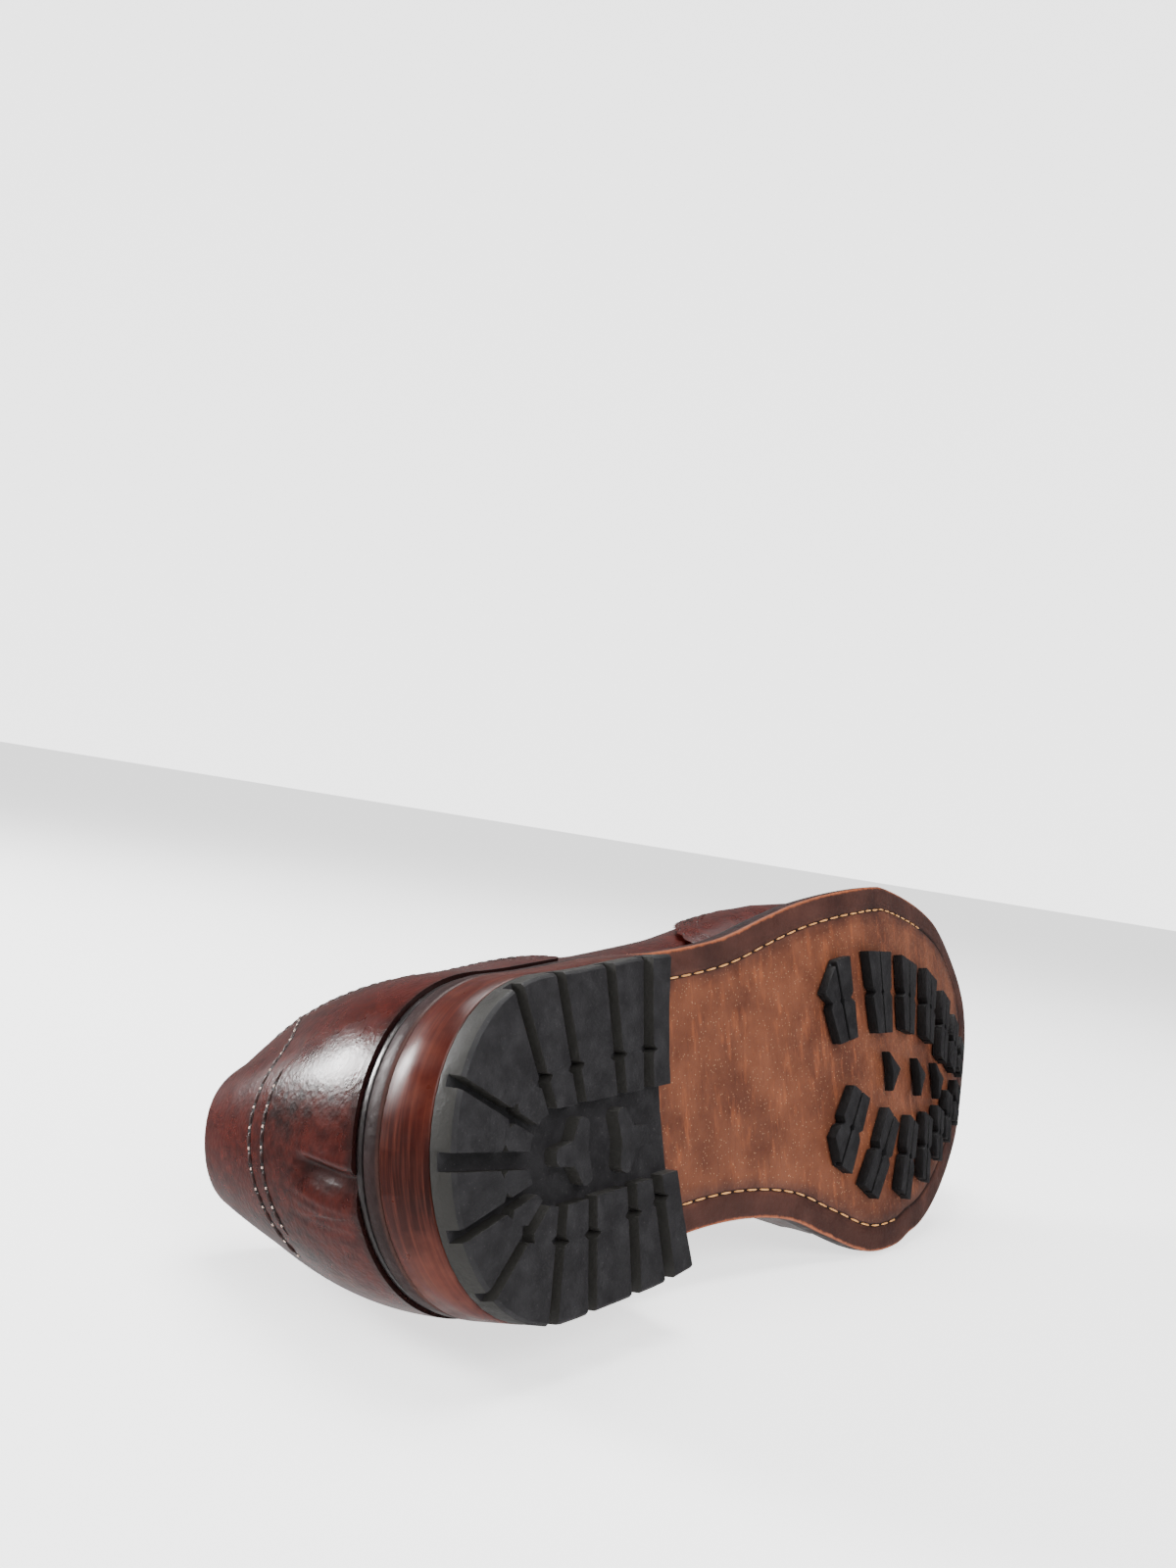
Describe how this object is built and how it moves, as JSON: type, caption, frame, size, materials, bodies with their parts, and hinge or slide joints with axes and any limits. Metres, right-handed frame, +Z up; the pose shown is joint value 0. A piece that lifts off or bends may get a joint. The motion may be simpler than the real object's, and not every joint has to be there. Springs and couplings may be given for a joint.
{
  "type": "brogue shoe",
  "caption": "Right wing-cap brogue shoe in glossy oxblood leather with a stitched leather sole, rubber cleats and a stacked heel, lying on its inner side.",
  "frame": {"origin": "centre of the bounding box on the ground the shoe lies on", "axes": "+X from heel to toe, +Z up from the ground, the sole faces -Y"},
  "size_m": [0.2964, 0.118, 0.1088],
  "materials": {
    "upper_leather": "glossy grained",
    "sole_leather": "satin",
    "stack_leather": "burnished",
    "edge_leather": "burnished",
    "lining": "matte",
    "rubber": "matte",
    "eyelet_metal": "antique",
    "lace": "waxed cotton"
  },
  "bodies": {
    "root": {"cleat_arrow_1": "rubber", "cleat_arrow_2": "rubber", "cleat_arrow_3": "rubber", "cleat_lateral_1": "rubber", "cleat_lateral_2": "rubber", "cleat_lateral_3": "rubber", "cleat_lateral_4": "rubber", "cleat_lateral_5": "rubber", "cleat_lateral_6": "rubber", "cleat_lateral_7": "rubber", "cleat_medial_1": "rubber", "cleat_medial_2": "rubber", "cleat_medial_3": "rubber", "cleat_medial_4": "rubber", "cleat_medial_5": "rubber", "cleat_medial_6": "rubber", "cleat_medial_7": "rubber", "counter": "upper_leather", "eyelet_lateral_1": "eyelet_metal", "eyelet_lateral_2": "eyelet_metal", "eyelet_lateral_3": "eyelet_metal", "eyelet_lateral_4": "eyelet_metal", "eyelet_lateral_5": "eyelet_metal", "eyelet_medial_1": "eyelet_metal", "eyelet_medial_2": "eyelet_metal", "eyelet_medial_3": "eyelet_metal", "eyelet_medial_4": "eyelet_metal", "eyelet_medial_5": "eyelet_metal", "facing_lateral": "upper_leather", "facing_medial": "upper_leather", "heel_stack": "stack_leather", "heel_top_piece": "rubber", "insole": "lining", "lace_bar_1": "lace", "lace_bar_2": "lace", "lace_bar_3": "lace", "lace_bar_4": "lace", "lace_bar_5": "lace", "outsole": "sole_leather", "tongue": "upper_leather", "upper": "upper_leather", "welt": "edge_leather", "wing_cap": "upper_leather"}
  },
  "joints": []
}
